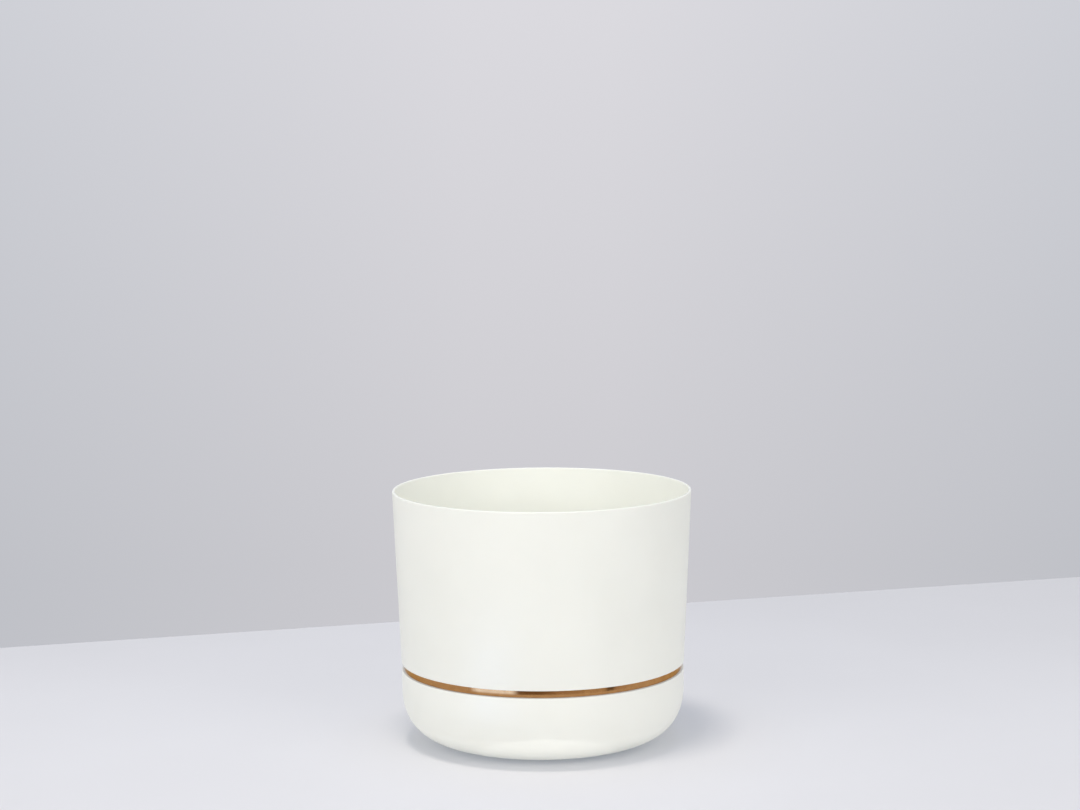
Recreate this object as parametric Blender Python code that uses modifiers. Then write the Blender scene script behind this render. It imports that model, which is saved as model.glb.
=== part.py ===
"""A round self-watering planter: a tapered pot that stands on the neck of a reservoir saucer,
with a brass strip in the shadow gap between the two shells.

The origin is on the pot's axis, on the surface that the planter stands on. +Z is up, and the
water filling flap is at the back, on +Y. Lengths are in metres, worked out from the
dimensions below, which are in millimetres times MM.
"""

from math import cos, pi, radians, sin

import bmesh
import bpy
from mathutils import Matrix, Vector

MM = 0.001

# Driving dimensions
RIM_RADIUS = 125 * MM
TOTAL_HEIGHT = 212 * MM
SKIRT_RADIUS = 118.9 * MM  # outside of the pot at its lower edge
SKIRT_LOW = 67 * MM  # lower edge of the pot, which is the top of the shadow gap
SHADOW_GAP = 6.2 * MM  # height of brass that shows between the shells
BAND_RECESS = 2.0 * MM  # how far the brass lies behind the saucer's wall
BASE_LIFT = 1.5 * MM  # underside of the saucer above the table
CORNER_HEIGHT = 45 * MM  # the saucer's lower corner is a quarter of a superellipse
CORNER_WIDTH = 46 * MM
CORNER_POWER = 2.4
GAP = 0.3 * MM  # between pieces that rest on each other
PLAY = 0.5 * MM  # between pieces that slide in each other

# Walls
POT_WALL = 2.2 * MM
SKIRT_WALL = 1.7 * MM
SAUCER_WALL = 2.5 * MM
FLOOR_THICKNESS = 2.5 * MM
EDGE = 0.4 * MM  # chamfer on thin edges
FLOOR_CORNER = 8 * MM  # inside corner between the pot's floor and its wall

# Saucer, from the outside in
SAUCER_RADIUS = SKIRT_RADIUS - GAP
SAUCER_INSIDE = SAUCER_RADIUS - SAUCER_WALL
LIP_TOP = SKIRT_LOW - SHADOW_GAP
BAND_RADIUS = SAUCER_RADIUS - BAND_RECESS
BAND_THICKNESS = 0.8 * MM
BAND_HIDDEN = 3 * MM  # how far the brass runs up behind the pot's skirt
BAND_TOP = SKIRT_LOW + BAND_HIDDEN
SEAM_WIDTH = 0.6 * MM
NECK_RADIUS = BAND_RADIUS - BAND_THICKNESS - GAP
NECK_WALL = 2.2 * MM
NECK_INSIDE = NECK_RADIUS - NECK_WALL
NECK_HIDDEN = 6 * MM  # how far the neck stands up behind the pot's skirt
NECK_TOP = SKIRT_LOW + NECK_HIDDEN
CONTACT_RADIUS = SAUCER_RADIUS - CORNER_WIDTH
RECESS_RADIUS = 54 * MM  # the middle of the underside is raised inside this radius
RECESS_DEPTH = 2 * MM

# Pot floor, which rests on the neck and is centred by a spigot ring inside it
FLOOR_LOW = NECK_TOP + GAP
FLOOR_TOP = FLOOR_LOW + FLOOR_THICKNESS
SPIGOT_RADIUS = NECK_INSIDE - PLAY
SPIGOT_WALL = 1.8 * MM
SPIGOT_DEPTH = 6.8 * MM
RIB_THICKNESS = 1.8 * MM
RIB_DEPTH = 6.3 * MM
RIB_LOW = FLOOR_LOW - RIB_DEPTH
DRAIN_HOLE_RADIUS = 2.5 * MM
OUTER_HOLE_CIRCLE = 97 * MM
OUTER_HOLE_COUNT = 18
SIDE_HOLE_CIRCLE = 66 * MM
SIDE_HOLE_ANGLE = radians(14)  # each side of a rib
INNER_HOLE_CIRCLE = 26 * MM
INNER_HOLE_COUNT = 6

# Wicking baskets
BASKET_COUNT = 3
BASKET_CIRCLE = 58 * MM
BASKET_START = radians(90)
BASKET_STEP = 2 * pi / BASKET_COUNT
BASKET_RADIUS = 20 * MM
BASKET_FOOT_RADIUS = 15 * MM
BASKET_WALL = 1.6 * MM
BASKET_LOW = 8 * MM
FLANGE_RADIUS = 25 * MM
FLANGE_THICKNESS = 2 * MM
SEAT_RADIUS = BASKET_RADIUS + PLAY
COLLAR_WALL = 1.8 * MM
SLOT_PAIRS = 4
SLOT_WIDTH = 3 * MM
SLOT_LOW = 18 * MM
SLOT_TOP = 60 * MM
BASE_HOLE_COUNT = 4
BASE_HOLE_RADIUS = 1.5 * MM

# Filling flap at the back
PORT_WIDTH = 40 * MM
PORT_LOW = 40 * MM
PORT_TOP = 54 * MM
PORT_CORNER = 3 * MM
FLAP_WIDTH = 44 * MM
FLAP_LOW = 38.5 * MM
FLAP_TOP = 55.5 * MM
FLAP_THICKNESS = 1.6 * MM
FLAP_RADIUS = SAUCER_INSIDE - 0.8 * MM
HINGE_Y = 108.6 * MM
HINGE_Z = 56.6 * MM
BARREL_RADIUS = 2.3 * MM
BARREL_LENGTH = 48 * MM
PIN_RADIUS = 1.25 * MM
PIN_LENGTH = 54.4 * MM
EAR_THICKNESS = 3.2 * MM
EAR_DEPTH = 9 * MM
EAR_MIDDLE_Y = HINGE_Y + 2 * MM
EAR_LOW = 53.5 * MM
EAR_TOP = 59.5 * MM
SPRING_NOTCH = 10 * MM  # gap in the barrel and in the flap's shelf, round the spring
SPRING_WIRE_RADIUS = 0.35 * MM
SPRING_RADIUS = PIN_RADIUS + SPRING_WIRE_RADIUS + GAP
SPRING_PITCH = 1.3 * MM
SPRING_TURNS = 7
SPRING_POINTS_PER_TURN = 12

# Water gauge: a float on a rod, seen through a round lens
GAUGE_ANGLE = radians(66)
LENS_HEIGHT = 48 * MM
LENS_RADIUS = 6.2 * MM
LENS_FLANGE_RADIUS = 8.5 * MM
LENS_FLANGE_THICKNESS = 1.0 * MM
FLOAT_CIRCLE = 90 * MM
FLOAT_RADIUS = 12 * MM
FLOAT_HEIGHT = 12 * MM
FLOAT_EDGE = 1.2 * MM
FLOAT_LOW = 22 * MM
ROD_RADIUS = 1.6 * MM
ROD_LOW = 14.4 * MM
ROD_TOP = 63 * MM
POST_RADIUS = 3.5 * MM
POST_LOW = 4.8 * MM  # inside the thickness of the saucer's floor
BRACKET_LOW = 57 * MM
BRACKET_TOP = 60 * MM
BRACKET_END = SAUCER_INSIDE - 0.5 * MM

# Drain plug and feet
PLUG_RADIUS = 6.3 * MM
PLUG_TOP = 9 * MM
PLUG_TAPER = 1.2 * MM
PLUG_TAPER_LENGTH = 2 * MM
PLUG_HEAD_RADIUS = 9 * MM
PLUG_HEAD_THICKNESS = 1.8 * MM
FOOT_COUNT = 4
FOOT_START = radians(45)
FOOT_CIRCLE = 65 * MM
FOOT_RADIUS = 6 * MM
FOOT_SOCKET_DEPTH = 1 * MM

# Facets, and points along rounded outlines
SHELL_STEPS = 72
SMALL_STEPS = 24
HOLE_STEPS = 10
CORNER_POINTS = 12
FLOOR_CORNER_POINTS = 5
PORT_CORNER_STEPS = 4
SHARP_ANGLE = radians(40)
OVERSHOOT = 5 * MM  # how far a cutter runs past the wall that it cuts

WHITE_PLASTIC = ("white_plastic", (0.83, 0.82, 0.79), 0.45, 0.0)
BRASS = ("brass", (0.60, 0.38, 0.16), 0.25, 1.0)
GREY_PLASTIC = ("grey_plastic", (0.30, 0.31, 0.31), 0.5, 0.0)
STEEL = ("steel", (0.60, 0.61, 0.62), 0.3, 1.0)
CLEAR_PLASTIC = ("clear_plastic", (0.85, 0.90, 0.92), 0.1, 0.0)
ORANGE_FOAM = ("orange_float", (0.85, 0.25, 0.05), 0.55, 0.0)
RUBBER = ("rubber", (0.05, 0.05, 0.05), 0.8, 0.0)


def clear_scene():
    for old in list(bpy.data.objects):
        bpy.data.objects.remove(old)


def new_collection(name, hidden=False):
    made = bpy.data.collections.new(name)
    made.hide_render = hidden
    bpy.context.scene.collection.children.link(made)
    return made


def material(spec):
    """The Principled material of a (name, colour, roughness, metallic) entry, made once."""
    name, colour, roughness, metallic = spec
    made = bpy.data.materials.get(name)
    if made is None:
        made = bpy.data.materials.new(name)
        made.use_nodes = True
        shader = made.node_tree.nodes["Principled BSDF"]
        shader.inputs["Base Color"].default_value = (*colour, 1)
        shader.inputs["Roughness"].default_value = roughness
        shader.inputs["Metallic"].default_value = metallic
        made.diffuse_color = (*colour, 1)
    return made


def add_part(name, mesh, spec):
    """A named piece in the planter's collection."""
    made = bpy.data.objects.new(name, mesh)
    parts.objects.link(made)
    mesh.materials.append(material(spec))
    return made


def add_cutter(name, mesh):
    """A helper that cuts or joins, and is never rendered."""
    made = bpy.data.objects.new(name, mesh)
    cutters.objects.link(made)
    made.hide_render = True
    made.display_type = "WIRE"
    return made


def profile_mesh(name, points, closed):
    """The outline of a turned piece: (radius, height) points joined in order, in the XZ plane."""
    mesh = bpy.data.meshes.new(name)
    edges = [(i, i + 1) for i in range(len(points) - 1)]
    if closed:
        edges.append((len(points) - 1, 0))
    mesh.from_pydata([(r, 0, z) for r, z in points], edges, [])
    return mesh


def turned_part(name, points, spec, steps=SHELL_STEPS, closed=False):
    """A turned piece. Its outline runs from the top down the outside; a ring's is closed."""
    made = add_part(name, profile_mesh(name, points, closed), spec)
    screw = made.modifiers.new("turned", "SCREW")
    screw.steps = steps
    screw.render_steps = steps
    screw.use_merge_vertices = True
    screw.merge_threshold = 0.01 * MM
    screw.use_smooth_shade = True
    return made


def boolean(made, other, operation="DIFFERENCE", overlapping=False):
    """Cuts or joins other; overlapping is for a helper whose own solids cross each other."""
    change = made.modifiers.new(other.name, "BOOLEAN")
    change.operation = operation
    change.object = other
    change.use_self = overlapping
    return made


def polar(radius, angle, z=0.0):
    return Vector((radius * cos(angle), radius * sin(angle), z))


def upright(position, angle=0.0):
    return Matrix.Translation(position) @ Matrix.Rotation(angle, 4, "Z")


def radial(position, angle):
    """Points a cylinder's own Z axis outwards along the radius at this angle."""
    return Matrix.Translation(position) @ Matrix.Rotation(angle, 4, "Z") @ Matrix.Rotation(pi / 2, 4, "Y")


def add_cylinder(form, matrix, radius, length, steps=SMALL_STEPS):
    """A closed cylinder about the matrix's Z axis, centred on its origin."""
    bmesh.ops.create_cone(
        form,
        cap_ends=True,
        segments=steps,
        radius1=radius,
        radius2=radius,
        depth=length,
        matrix=matrix,
    )


def add_box(form, matrix, size):
    """A closed box of that (x, y, z) size, centred on the matrix's origin."""
    bmesh.ops.create_cube(form, size=1, matrix=matrix @ Matrix.Diagonal((*size, 1)))


def mesh_of(name, form):
    mesh = bpy.data.meshes.new(name)
    form.to_mesh(mesh)
    form.free()
    return mesh


def form_cutter(name, form):
    return add_cutter(name, mesh_of(name, form))


def box_cutter(name, place, size):
    form = bmesh.new()
    add_box(form, upright(place), size)
    return form_cutter(name, form)


def adopt(name, spec, place, turn_by=(0, 0, 0)):
    """Names the primitive just added, and moves it into the planter's collection."""
    made = bpy.context.object
    made.name = name
    made.data.name = name
    for holder in list(made.users_collection):
        holder.objects.unlink(made)
    parts.objects.link(made)
    made.data.materials.append(material(spec))
    made.location = place
    made.rotation_euler = turn_by
    return made


def arc(centre, radius, start, end, count):
    """Points of a circular arc in the outline's plane, with both ends."""
    spread = [start + (end - start) * i / (count - 1) for i in range(count)]
    return [(centre[0] + radius * cos(a), centre[1] + radius * sin(a)) for a in spread]


def rounded_corner(inset):
    """The saucer's lower corner from its wall down to its flat underside, moved inwards by inset."""
    points = []
    for i in range(CORNER_POINTS):
        a = pi / 2 * i / (CORNER_POINTS - 1)
        across = abs(cos(a)) ** (2 / CORNER_POWER)
        down = sin(a) ** (2 / CORNER_POWER)
        outwards = across ** (CORNER_POWER - 1) / CORNER_WIDTH
        downwards = down ** (CORNER_POWER - 1) / CORNER_HEIGHT
        normal = Vector((outwards, downwards)).normalized()
        r = CONTACT_RADIUS + CORNER_WIDTH * across - inset * normal[0]
        z = BASE_LIFT + CORNER_HEIGHT * (1 - down) + inset * normal[1]
        points.append((r, z))
    return points


def pot_outside(z):
    """Radius of the pot's tapered outer wall at height z."""
    share = (z - SKIRT_LOW) / (TOTAL_HEIGHT - SKIRT_LOW)
    return SKIRT_RADIUS + share * (RIM_RADIUS - SKIRT_RADIUS)


def basket_places():
    """(number, centre) of each wicking basket."""
    for i in range(BASKET_COUNT):
        yield i + 1, polar(BASKET_CIRCLE, BASKET_START + i * BASKET_STEP)


def rib_angles():
    """The ribs under the pot's floor run out half way between the baskets."""
    return [BASKET_START + (i + 0.5) * BASKET_STEP for i in range(BASKET_COUNT)]


def pot_outline():
    """Inside of the pot from the middle of its floor up to the rim, then down its outside."""
    corner_z = FLOOR_TOP + FLOOR_CORNER
    inside = pot_outside(corner_z) - POT_WALL
    rim = RIM_RADIUS - POT_WALL
    points = [(0, FLOOR_TOP)]
    points += arc((inside - FLOOR_CORNER, corner_z), FLOOR_CORNER, -pi / 2, 0, FLOOR_CORNER_POINTS)
    points += [(rim, TOTAL_HEIGHT - EDGE), (rim + EDGE, TOTAL_HEIGHT)]
    points += [(RIM_RADIUS - EDGE, TOTAL_HEIGHT), (RIM_RADIUS, TOTAL_HEIGHT - EDGE)]
    points += [(SKIRT_RADIUS, SKIRT_LOW + EDGE), (SKIRT_RADIUS - EDGE, SKIRT_LOW)]
    skirt_inside = SKIRT_RADIUS - SKIRT_WALL
    points += [(skirt_inside + EDGE, SKIRT_LOW), (skirt_inside, SKIRT_LOW + EDGE)]
    spigot_low = FLOOR_LOW - SPIGOT_DEPTH
    points += [(skirt_inside, FLOOR_LOW), (SPIGOT_RADIUS, FLOOR_LOW), (SPIGOT_RADIUS, spigot_low)]
    spigot_inside = SPIGOT_RADIUS - SPIGOT_WALL
    points += [(spigot_inside, spigot_low), (spigot_inside, FLOOR_LOW), (0, FLOOR_LOW)]
    return points


def floor_stiffeners():
    """Ribs and a collar round each basket's seat, under the pot's floor."""
    form = bmesh.new()
    height = RIB_DEPTH + FLOOR_THICKNESS / 2
    middle = RIB_LOW + height / 2
    reach = SPIGOT_RADIUS - SPIGOT_WALL / 2
    for angle in rib_angles():
        add_box(form, upright(polar(reach / 2, angle, middle), angle), (reach, RIB_THICKNESS, height))
    for _, centre in basket_places():
        add_cylinder(form, upright(centre + Vector((0, 0, middle))), SEAT_RADIUS + COLLAR_WALL, height)
    return form_cutter("floor_stiffeners", form)


def floor_holes():
    """Drain holes through the pot's floor, in three rings that miss the baskets and the ribs."""
    form = bmesh.new()
    outer_step = 2 * pi / OUTER_HOLE_COUNT
    inner_step = 2 * pi / INNER_HOLE_COUNT
    outer = [(i + 0.5) * outer_step for i in range(OUTER_HOLE_COUNT)]
    inner = [i * inner_step for i in range(INNER_HOLE_COUNT)]
    beside_ribs = [a + side * SIDE_HOLE_ANGLE for a in rib_angles() for side in (-1, 1)]
    rings = [(OUTER_HOLE_CIRCLE, outer), (SIDE_HOLE_CIRCLE, beside_ribs), (INNER_HOLE_CIRCLE, inner)]
    depth = FLOOR_THICKNESS + 2 * OVERSHOOT
    middle = FLOOR_LOW + FLOOR_THICKNESS / 2
    for radius, angles in rings:
        for angle in angles:
            place = upright(polar(radius, angle, middle))
            add_cylinder(form, place, DRAIN_HOLE_RADIUS, depth, HOLE_STEPS)
    return form_cutter("floor_holes", form)


def basket_seats():
    form = bmesh.new()
    length = FLOOR_TOP - RIB_LOW + 2 * OVERSHOOT
    for _, centre in basket_places():
        middle = centre + Vector((0, 0, (FLOOR_TOP + RIB_LOW) / 2))
        add_cylinder(form, upright(middle), SEAT_RADIUS, length)
    return form_cutter("basket_seats", form)


def make_pot():
    pot = turned_part("pot_shell", pot_outline(), WHITE_PLASTIC)
    boolean(pot, floor_stiffeners(), "UNION", overlapping=True)
    boolean(pot, basket_seats())
    boolean(pot, floor_holes())


def saucer_outline():
    """Inside of the saucer from the middle of its floor up to its neck, then down its outside."""
    raised = BASE_LIFT + RECESS_DEPTH
    shelf_low = LIP_TOP - SAUCER_WALL
    flare_low = shelf_low - (SAUCER_INSIDE - NECK_INSIDE)
    points = [(0, raised + SAUCER_WALL), (RECESS_RADIUS - EDGE, raised + SAUCER_WALL)]
    points += [(RECESS_RADIUS + RECESS_DEPTH - EDGE, BASE_LIFT + SAUCER_WALL)]
    points += rounded_corner(SAUCER_WALL)[::-1]
    points += [(SAUCER_INSIDE, flare_low), (NECK_INSIDE, shelf_low), (NECK_INSIDE, NECK_TOP - EDGE)]
    points += [(NECK_INSIDE + EDGE, NECK_TOP), (NECK_RADIUS - EDGE, NECK_TOP)]
    points += [(NECK_RADIUS, NECK_TOP - EDGE), (NECK_RADIUS, LIP_TOP)]
    points += [(SAUCER_RADIUS - EDGE, LIP_TOP), (SAUCER_RADIUS, LIP_TOP - EDGE)]
    points += rounded_corner(0)
    points += [(RECESS_RADIUS + RECESS_DEPTH, BASE_LIFT), (RECESS_RADIUS, raised), (0, raised)]
    return points


def saucer_bosses():
    """The hinge ears, the float rod's post and its bracket, which grow from the saucer's inside."""
    form = bmesh.new()
    for side in (-1, 1):
        x = side * (BARREL_LENGTH / 2 + GAP + EAR_THICKNESS / 2)
        ear = (x, EAR_MIDDLE_Y, (EAR_LOW + EAR_TOP) / 2)
        add_box(form, upright(ear), (EAR_THICKNESS, EAR_DEPTH, EAR_TOP - EAR_LOW))
    post_top = FLOAT_LOW - GAP
    post = polar(FLOAT_CIRCLE, GAUGE_ANGLE, (POST_LOW + post_top) / 2)
    add_cylinder(form, upright(post), POST_RADIUS, post_top - POST_LOW)
    arm_start = FLOAT_CIRCLE - POST_RADIUS
    arm = polar((arm_start + BRACKET_END) / 2, GAUGE_ANGLE, (BRACKET_LOW + BRACKET_TOP) / 2)
    arm_size = (BRACKET_END - arm_start, 2 * POST_RADIUS, BRACKET_TOP - BRACKET_LOW)
    add_box(form, upright(arm, GAUGE_ANGLE), arm_size)
    return form_cutter("saucer_bosses", form)


def filling_port():
    """The rounded opening in the back wall that a can's spout goes through."""
    form = bmesh.new()
    height = PORT_TOP - PORT_LOW
    depth = SAUCER_WALL + 2 * OVERSHOOT
    place = upright((0, SAUCER_RADIUS - SAUCER_WALL / 2, (PORT_LOW + PORT_TOP) / 2))
    add_box(form, place, (PORT_WIDTH, depth, height))
    along = [e for e in form.edges if abs((e.verts[0].co - e.verts[1].co).y) > depth / 2]
    bmesh.ops.bevel(form, geom=along, offset=PORT_CORNER, segments=PORT_CORNER_STEPS, affect="EDGES")
    return form_cutter("filling_port", form)


def saucer_holes():
    """Bores for the hinge pin and the float rod, the lens, the drain plug and the feet's sockets."""
    form = bmesh.new()
    pin_line = Matrix.Translation((0, HINGE_Y, HINGE_Z)) @ Matrix.Rotation(pi / 2, 4, "Y")
    ear_span = BARREL_LENGTH + 2 * GAP + 2 * EAR_THICKNESS
    add_cylinder(form, pin_line, PIN_RADIUS + GAP, ear_span + GAP, HOLE_STEPS)
    rod = polar(FLOAT_CIRCLE, GAUGE_ANGLE, (ROD_LOW - GAP + ROD_TOP) / 2)
    rod_length = ROD_TOP - ROD_LOW + GAP
    add_cylinder(form, upright(rod), ROD_RADIUS + GAP, rod_length, HOLE_STEPS)
    lens = polar(SAUCER_RADIUS, GAUGE_ANGLE, LENS_HEIGHT)
    add_cylinder(form, radial(lens, GAUGE_ANGLE), LENS_RADIUS + GAP, 4 * OVERSHOOT)
    add_cylinder(form, upright((0, 0, BASE_LIFT)), PLUG_RADIUS + GAP, 4 * OVERSHOOT)
    for i in range(FOOT_COUNT):
        angle = FOOT_START + 2 * pi * i / FOOT_COUNT
        foot = polar(FOOT_CIRCLE, angle, BASE_LIFT + FOOT_SOCKET_DEPTH - OVERSHOOT / 2)
        add_cylinder(form, upright(foot), FOOT_RADIUS + GAP, OVERSHOOT)
    return form_cutter("saucer_holes", form)


def make_saucer():
    saucer = turned_part("reservoir_saucer", saucer_outline(), WHITE_PLASTIC)
    boolean(saucer, saucer_bosses(), "UNION")
    boolean(saucer, filling_port())
    boolean(saucer, saucer_holes())


def make_band():
    """A rolled brass strip, with a butt seam at the back."""
    low = LIP_TOP + GAP
    inside = BAND_RADIUS - BAND_THICKNESS
    outline = [(BAND_RADIUS, BAND_TOP), (BAND_RADIUS, low), (inside, low), (inside, BAND_TOP)]
    band = turned_part("brass_band", outline, BRASS, closed=True)
    seam = (SEAM_WIDTH, 2 * OVERSHOOT, BAND_TOP - low + 2 * OVERSHOOT)
    boolean(band, box_cutter("band_seam", (0, BAND_RADIUS, (low + BAND_TOP) / 2), seam))


def basket_cuts():
    """Meshes of the slots round a basket and of the holes in its base, shared by all the baskets."""
    form = bmesh.new()
    slot = (2 * FLANGE_RADIUS, SLOT_WIDTH, SLOT_TOP - SLOT_LOW)
    for i in range(SLOT_PAIRS):
        angle = pi * (i + 0.5) / SLOT_PAIRS
        add_box(form, upright((0, 0, (SLOT_LOW + SLOT_TOP) / 2), angle), slot)
    slots = mesh_of("basket_slots", form)
    form = bmesh.new()
    for i in range(BASE_HOLE_COUNT):
        hole = polar(BASKET_FOOT_RADIUS / 2, 2 * pi * i / BASE_HOLE_COUNT, BASKET_LOW)
        add_cylinder(form, upright(hole), BASE_HOLE_RADIUS, 2 * OVERSHOOT, HOLE_STEPS)
    return slots, mesh_of("basket_holes", form)


def make_baskets():
    """Conical cups that hang through the pot's floor into the water, each on its own flange."""
    flange_low = FLOOR_TOP + GAP
    flange_top = flange_low + FLANGE_THICKNESS
    inside_low = BASKET_LOW + BASKET_WALL
    outline = [(0, inside_low), (BASKET_FOOT_RADIUS - BASKET_WALL, inside_low)]
    outline += [(BASKET_RADIUS - BASKET_WALL, flange_top), (FLANGE_RADIUS, flange_top)]
    outline += [(FLANGE_RADIUS, flange_low), (BASKET_RADIUS, flange_low)]
    outline += [(BASKET_FOOT_RADIUS, BASKET_LOW), (0, BASKET_LOW)]
    slots, holes = basket_cuts()
    for number, centre in basket_places():
        basket = turned_part(f"wick_basket_{number}", outline, GREY_PLASTIC, SMALL_STEPS)
        basket.location = centre
        slot_cutter = add_cutter(f"basket_slots_{number}", slots)
        hole_cutter = add_cutter(f"basket_holes_{number}", holes)
        for cutter in (slot_cutter, hole_cutter):
            cutter.location = centre
            boolean(basket, cutter)


def on_hinge(made):
    """Hangs a piece that is drawn about the pot's axis from an empty on the hinge line."""
    if not parts.objects.get("flap_hinge"):
        hinge = bpy.data.objects.new("flap_hinge", None)
        parts.objects.link(hinge)
        hinge.location = (0, HINGE_Y, HINGE_Z)
    made.parent = parts.objects["flap_hinge"]
    made.location = (0, -HINGE_Y, -HINGE_Z)


def make_flap():
    """The flap inside the filling port, which swings inwards on two hollow knuckles."""
    inside = FLAP_RADIUS - FLAP_THICKNESS
    shelf_low = FLAP_TOP - FLAP_THICKNESS
    shelf_in = HINGE_Y - FLAP_THICKNESS
    outline = [(FLAP_RADIUS, FLAP_TOP), (FLAP_RADIUS, FLAP_LOW), (inside, FLAP_LOW)]
    outline += [(inside, shelf_low), (shelf_in, shelf_low), (shelf_in, FLAP_TOP)]
    flap = turned_part("fill_flap", outline, WHITE_PLASTIC, closed=True)
    middle = Vector((0, HINGE_Y, (FLAP_LOW + FLAP_TOP) / 2))
    window = (FLAP_WIDTH, 4 * OVERSHOOT, FLAP_TOP - FLAP_LOW + OVERSHOOT)
    helpers = [(box_cutter("flap_width", middle, window), "INTERSECT")]
    hinge_line = Matrix.Translation((0, HINGE_Y, HINGE_Z)) @ Matrix.Rotation(pi / 2, 4, "Y")
    form = bmesh.new()
    add_cylinder(form, hinge_line, BARREL_RADIUS, BARREL_LENGTH)
    helpers.append((form_cutter("flap_barrel", form), "UNION"))
    form = bmesh.new()
    add_cylinder(form, hinge_line, PIN_RADIUS + GAP, BARREL_LENGTH + OVERSHOOT, HOLE_STEPS)
    helpers.append((form_cutter("flap_bore", form), "DIFFERENCE"))
    notch = (SPRING_NOTCH, 3 * BARREL_RADIUS, 4 * BARREL_RADIUS)
    helpers.append((box_cutter("flap_notch", (0, HINGE_Y, HINGE_Z), notch), "DIFFERENCE"))
    for helper, operation in helpers:
        boolean(flap, helper, operation)
        on_hinge(helper)
    on_hinge(flap)


def make_hinge():
    """The flap's steel pin, and the coil of the small torsion spring that is threaded on it."""
    bpy.ops.mesh.primitive_cylinder_add(vertices=HOLE_STEPS, radius=PIN_RADIUS, depth=PIN_LENGTH)
    adopt("flap_pin", STEEL, (0, HINGE_Y, HINGE_Z), (0, pi / 2, 0))
    curve = bpy.data.curves.new("flap_spring", "CURVE")
    curve.dimensions = "3D"
    curve.bevel_depth = SPRING_WIRE_RADIUS
    curve.bevel_resolution = 2
    curve.use_fill_caps = True
    last = (SPRING_TURNS - 1) * SPRING_POINTS_PER_TURN
    spline = curve.splines.new("POLY")
    spline.points.add(last)
    for i, point in enumerate(spline.points):
        turn_angle = 2 * pi * i / SPRING_POINTS_PER_TURN
        along = SPRING_PITCH * (i - last / 2) / SPRING_POINTS_PER_TURN
        point.co = (along, SPRING_RADIUS * cos(turn_angle), SPRING_RADIUS * sin(turn_angle), 1)
    spring = bpy.data.objects.new("flap_spring", curve)
    parts.objects.link(spring)
    curve.materials.append(material(STEEL))
    spring.location = (0, HINGE_Y, HINGE_Z)


def make_gauge():
    """The float, its rod and the lens that shows it when the reservoir is full."""
    bore = ROD_RADIUS + PLAY
    top = FLOAT_LOW + FLOAT_HEIGHT
    face = FLOAT_RADIUS - FLOAT_EDGE
    outline = [(bore, top), (face, top), (FLOAT_RADIUS, top - FLOAT_EDGE)]
    outline += [(FLOAT_RADIUS, FLOAT_LOW + FLOAT_EDGE), (face, FLOAT_LOW), (bore, FLOAT_LOW)]
    water_float = turned_part("water_float", outline, ORANGE_FOAM, SMALL_STEPS, closed=True)
    water_float.location = polar(FLOAT_CIRCLE, GAUGE_ANGLE)
    length = ROD_TOP - ROD_LOW
    bpy.ops.mesh.primitive_cylinder_add(vertices=HOLE_STEPS, radius=ROD_RADIUS, depth=length)
    adopt("float_rod", STEEL, polar(FLOAT_CIRCLE, GAUGE_ANGLE, ROD_LOW + length / 2))
    crown = LENS_FLANGE_THICKNESS
    back = GAP + SAUCER_WALL
    outline = [(0, crown), (LENS_FLANGE_RADIUS - EDGE, crown), (LENS_FLANGE_RADIUS, crown - EDGE)]
    outline += [(LENS_FLANGE_RADIUS, 0), (LENS_RADIUS, 0), (LENS_RADIUS, -back), (0, -back)]
    lens = turned_part("sight_lens", outline, CLEAR_PLASTIC, SMALL_STEPS)
    lens.matrix_world = radial(polar(SAUCER_RADIUS + GAP, GAUGE_ANGLE, LENS_HEIGHT), GAUGE_ANGLE)


def make_plug():
    """A rubber bung pushed up into the drain hole, its head inside the underside's recess."""
    head_top = BASE_LIFT + RECESS_DEPTH - GAP
    head_low = head_top - PLUG_HEAD_THICKNESS
    outline = [(0, PLUG_TOP), (PLUG_RADIUS - PLUG_TAPER, PLUG_TOP)]
    outline += [(PLUG_RADIUS, PLUG_TOP - PLUG_TAPER_LENGTH), (PLUG_RADIUS, head_top)]
    outline += [(PLUG_HEAD_RADIUS - EDGE, head_top), (PLUG_HEAD_RADIUS, head_top - EDGE)]
    outline += [(PLUG_HEAD_RADIUS, head_low + EDGE), (PLUG_HEAD_RADIUS - EDGE, head_low)]
    outline += [(0, head_low)]
    turned_part("drain_plug", outline, RUBBER, SMALL_STEPS)


def make_feet():
    """Rubber pads in sockets under the saucer, which carry the planter."""
    height = BASE_LIFT + FOOT_SOCKET_DEPTH - GAP
    for i in range(FOOT_COUNT):
        bpy.ops.mesh.primitive_cylinder_add(vertices=SMALL_STEPS, radius=FOOT_RADIUS, depth=height)
        place = polar(FOOT_CIRCLE, FOOT_START + 2 * pi * i / FOOT_COUNT, height / 2)
        foot = adopt(f"rubber_foot_{i + 1}", RUBBER, place)
        rounding = foot.modifiers.new("rounded_edge", "BEVEL")
        rounding.width = EDGE
        rounding.segments = 1
        foot.data.shade_smooth()
        foot.data.set_sharp_from_angle(angle=SHARP_ANGLE)


clear_scene()
parts = new_collection("self_watering_planter")
cutters = new_collection("cutters", hidden=True)
make_pot()
make_saucer()
make_band()
make_baskets()
make_flap()
make_hinge()
make_gauge()
make_plug()
make_feet()
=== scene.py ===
"""Looks for the self-watering planter: finer shells, procedural materials, soft studio light.

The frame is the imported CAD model, in metres: the origin is on the pot's axis on the surface that
the planter stands on, +Z is up and the front is -Y. Sizes below repeat the CAD's, in millimetres
times MM, and the overall ones come from the frame's own boxes.
"""

from math import cos, pi, radians, sin

import bmesh
import bpy
from mathutils import Matrix, Vector


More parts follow.
